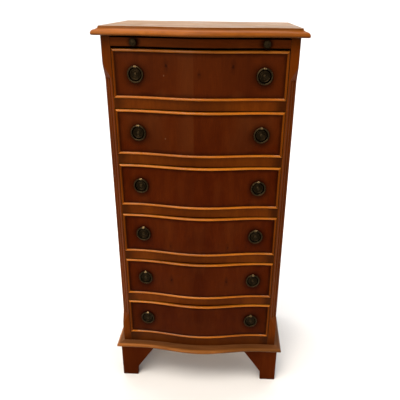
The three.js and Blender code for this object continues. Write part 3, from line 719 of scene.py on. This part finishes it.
# Turned outlines from the stud to the middle of the crown: radius, then how far out.
# The plate has a flat rim, two turned rings and a boss.
ROSETTE = STUD + [
    (18.9, 0), (19.0, 0.2), (18.95, 0.75), (18.6, 1.05), (18.0, 1.15), (16.6, 1.1),
    (15.4, 1.15), (14.9, 1.35), (14.4, 1.9), (13.8, 2.6), (13.1, 3.05), (12.4, 3.2),
    (11.7, 3.05), (11.1, 2.6), (10.7, 2.1), (10.3, 1.85), (9.6, 1.75), (9.1, 1.85),
    (8.7, 2.2), (8.2, 2.55), (7.6, 2.7), (7.0, 2.6), (6.5, 2.3), (6.1, 2.05),
    (5.2, 1.95), (4.6, 2.0), (4.3, 2.25), (4.0, 2.9), (3.5, 3.5), (2.8, 4.0),
    (1.8, 4.3), (0.9, 4.39), (0, 4.4),
]
# The knob has a small foot, a neck and a round head with a fine groove
KNOB = STUD + [
    (4.9, 0), (5.1, 0.2), (5.1, 1.1), (4.8, 1.6), (3.9, 2.1), (3.2, 2.8), (3.0, 3.6), (3.0, 5.0),
    (3.4, 5.8), (4.4, 6.5), (6.2, 7.2), (7.7, 8.0), (8.5, 8.8), (8.8, 9.7), (8.75, 10.7), (8.3, 11.7),
    (7.4, 12.5), (6.5, 12.95), (6.0, 12.95), (5.6, 12.75), (5.2, 12.9),
    (4.3, 13.35), (2.9, 13.75), (1.4, 13.95), (0, 14.0),
]
KNOB_LENGTH = KNOB[-1][1]
KNOB_HEAD_OUT = 12.0

# The last points of the plate's outline make its boss
BOSS_POINTS = 7
PLATE_SIDES = 64
KNOB_SIDES = 48
RING_STEPS = 84
RING_SIDES = 14
PIN_SIDES = 12


def facing(joint):
    """Which way a fitting's right, back and top point, from the hinge of its ring."""
    right = -Vector(joint["axis"]).normalized()
    up = Vector((0, 0, 1))
    return right, up.cross(right), up


def seat_matrix(joint):
    """The pull's own frame, with the middle of its plate's back as origin."""
    right, back, up = facing(joint)
    origin = Vector(joint["pos_m"]) + back * (RING_STANDOFF * MM) - up * (PIVOT_HEIGHT * MM)
    return Matrix.Translation(origin) @ Matrix((right, back, up)).transposed().to_4x4()


def lug(piece):
    """A knuckle that the ring's pins turn in, on a neck that stands on the plate."""
    half = LUG_WIDTH / 2
    turns = [math.radians(angle) for angle in LUG_ARC_DEGREES]
    sections = []
    for x, grow in ((-half, -LUG_EASE), (-half + LUG_EASE, 0.0), (half - LUG_EASE, 0.0), (half, -LUG_EASE)):
        radius = LUG_RADIUS + grow
        arc = []
        for t in turns:
            arc.append((x, -RING_STANDOFF - radius * math.sin(t), PIVOT_HEIGHT + radius * math.cos(t)))
        above = (x, -NECK_SUNK, PIVOT_HEIGHT + NECK_RISE + grow)
        below = (x, -NECK_SUNK, PIVOT_HEIGHT - NECK_DROP)
        sections.append([above, *[point for point in arc if point[1] < -NECK_TOP], below])
    piece.rings(sections)


def pull_plate(name, place, body):
    """The turned plate with its lug."""
    piece = Builder()
    piece.lathe(ROSETTE, PLATE_SIDES)
    lug_from = len(piece.faces)
    boss_from = lug_from - BOSS_POINTS * PLATE_SIDES
    lug(piece)
    # The boss and the lug wear lighter brass: painted highlights, besides their rubbed edges
    rubbed = [(boss_from, boss_brass_painted_highlight), (lug_from, lug_brass_painted_highlight)]
    return piece.build(name + "_fine", place, brass, body, name, rubbed)


def pull_ring(name, place, body):
    """A ring that is open at the top, where its two pins turn in the lug."""
    piece = Builder()
    around = [2 * math.pi * i / RING_SIDES for i in range(RING_SIDES)]
    sections = []
    for step in range(RING_STEPS + 1):
        turn = GAP_ANGLE + 2 * (math.pi - GAP_ANGLE) * step / RING_STEPS
        section = []
        for a in around:
            reach = RING_RADIUS + RING_WIRE * math.cos(a)
            out = RING_STANDOFF - RING_WIRE * math.sin(a)
            section.append((reach * math.sin(turn), -out, reach * math.cos(turn)))
        sections.append(section)
    piece.rings(sections)
    for sign in (-1, 1):
        ends = sorted((sign * (RING_GAP - PIN_REACH), sign * (RING_GAP + RING_WIRE)))
        piece.bar((ends[0], -RING_STANDOFF, PIVOT_HEIGHT), ends[1], PIN_RADIUS, PIN_SIDES, PIN_EASE)
    return piece.build(name + "_fine", place, brass_ring, body, name)


def slide_knob(name, joint):
    """A turned knob. It faces as the pull under it does, with its head in the middle of the node's box."""
    low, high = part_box(name)
    axes = facing(joint)
    back = axes[1]
    seat_x = (low.x + high.x) / 2 + back.x * KNOB_HEAD_OUT * MM
    seat_y = low.y + back.y * KNOB_LENGTH * MM
    seat = Vector((seat_x, seat_y, (low.z + high.z) / 2))
    place = Matrix.Translation(seat) @ Matrix(axes).transposed().to_4x4()
    piece = Builder()
    piece.lathe(KNOB, KNOB_SIDES)
    return piece.build(name + "_fine", place, brass_knob, "slide", name)


hinges = {joint["child"]: joint for joint in frame["joints"] if joint["type"] == "hinge"}
for ring_body, joint in hinges.items():
    tail = ring_body[len("ring_"):]
    place = seat_matrix(joint)
    pull_ring("pull_ring_" + tail, place, ring_body)
    pull_plate("pull_plate_" + tail, place, joint["parent"])
for hand in ("left", "right"):
    slide_knob("slide_knob_" + hand, hinges["ring_1_" + hand])


# Studio


def sweep():
    """A pale floor that curves up into a backdrop."""
    front, half_width, radius, height = -4.0, 7.0, 1.6, 4.5
    back, steps = 4.2, 12
    path = [(front, 0.0), (back - radius, 0.0)]
    for i in range(1, steps + 1):
        turn = math.pi / 2 * i / steps
        path.append((back - radius + radius * math.sin(turn), radius - radius * math.cos(turn)))
    path.append((back, height))
    points = [(x, y, z) for y, z in path for x in (-half_width, half_width)]
    faces = [(2 * i, 2 * i + 1, 2 * i + 3, 2 * i + 2) for i in range(len(path) - 1)]
    mesh = bpy.data.meshes.new("studio_sweep")
    mesh.from_pydata(points, [], faces)
    for face in mesh.polygons:
        face.use_smooth = True
    floor = bpy.data.objects.new("studio_sweep", mesh)
    scene.collection.objects.link(floor)
    sh = Shader("studio_paper")
    vector = sh.place()[0]
    tone = sh.remap(sh.noise(vector, 2.0), 0.3, 0.7, 0.86, 0.88)
    mesh.materials.append(sh.finish(sh.gray(tone), 0.8, tone, bump=0.0))


# Soft lights: where, aimed at, size in metres, watts, colour, spread in degrees
LIGHTS = {
    "ceiling_box": ((-0.6, -1.0, 2.8), (0.0, 0.3, 0.2), (1.8, 1.8), 19, (1.0, 0.90, 0.78), 90),
    "front_box": ((-0.9, -2.7, 1.45), (0, 0, 0.8), (0.9, 0.9), 8.5, (1.0, 0.88, 0.74), 100),
    "right_card": ((2.4, -0.5, 1.1), (0, -0.1, 0.7), (1.0, 1.4), 5, (1.0, 0.95, 0.88), 110),
    "backdrop_wash": ((0, 1.1, 3.0), (0, 3.6, 0.6), (4.0, 1.2), 140, (1.0, 0.98, 0.96), 180),
}


def area_light(name, location, target, size, power, color, spread):
    """A rectangular light that faces its target."""
    light = bpy.data.lights.new(name, "AREA")
    light.shape = "RECTANGLE"
    light.size, light.size_y = size
    light.energy = power
    light.color = color
    light.spread = math.radians(spread)
    obj = bpy.data.objects.new(name, light)
    obj.location = location
    obj.rotation_mode = "QUATERNION"
    obj.rotation_quaternion = (Vector(target) - Vector(location)).to_track_quat("-Z", "Y")
    scene.collection.objects.link(obj)


sweep()
for name, settings in LIGHTS.items():
    area_light(name, *settings)

world = bpy.data.worlds.new("studio_air")
world.use_nodes = True
world.node_tree.nodes["Background"].inputs["Color"].default_value = (1.0, 0.99, 0.98, 1)
world.node_tree.nodes["Background"].inputs["Strength"].default_value = 0.5
scene.world = world
scene.view_settings.view_transform = "Standard"

# Camera

CAMERA_AT = Vector((0.07735, -1.41404, 1.08237))
YAW, PITCH, ROLL = (math.radians(a) for a in (-2.4, 26.9, 0.7))
SENSOR_WIDTH = 36
FOCAL_LENGTH = 44.5
SHIFT = (-0.02, 0.131)


def photo_camera():
    """The camera that took the photo, worked out from the chest's edges in it."""
    forward = Vector((math.sin(YAW) * math.cos(PITCH), math.cos(YAW) * math.cos(PITCH), -math.sin(PITCH)))
    level = Vector((math.cos(YAW), -math.sin(YAW), 0))
    upright = level.cross(forward)
    right = level * math.cos(ROLL) + upright * math.sin(ROLL)
    up = -level * math.sin(ROLL) + upright * math.cos(ROLL)
    data = bpy.data.cameras.new("photo_camera")
    data.sensor_width = SENSOR_WIDTH
    data.lens = FOCAL_LENGTH
    data.shift_x, data.shift_y = SHIFT
    data.clip_start = 0.05
    data.clip_end = 50
    camera = bpy.data.objects.new("photo_camera", data)
    turn = Matrix((right, up, -forward)).transposed().to_4x4()
    camera.matrix_world = Matrix.Translation(CAMERA_AT) @ turn
    scene.collection.objects.link(camera)
    scene.camera = camera


photo_camera()
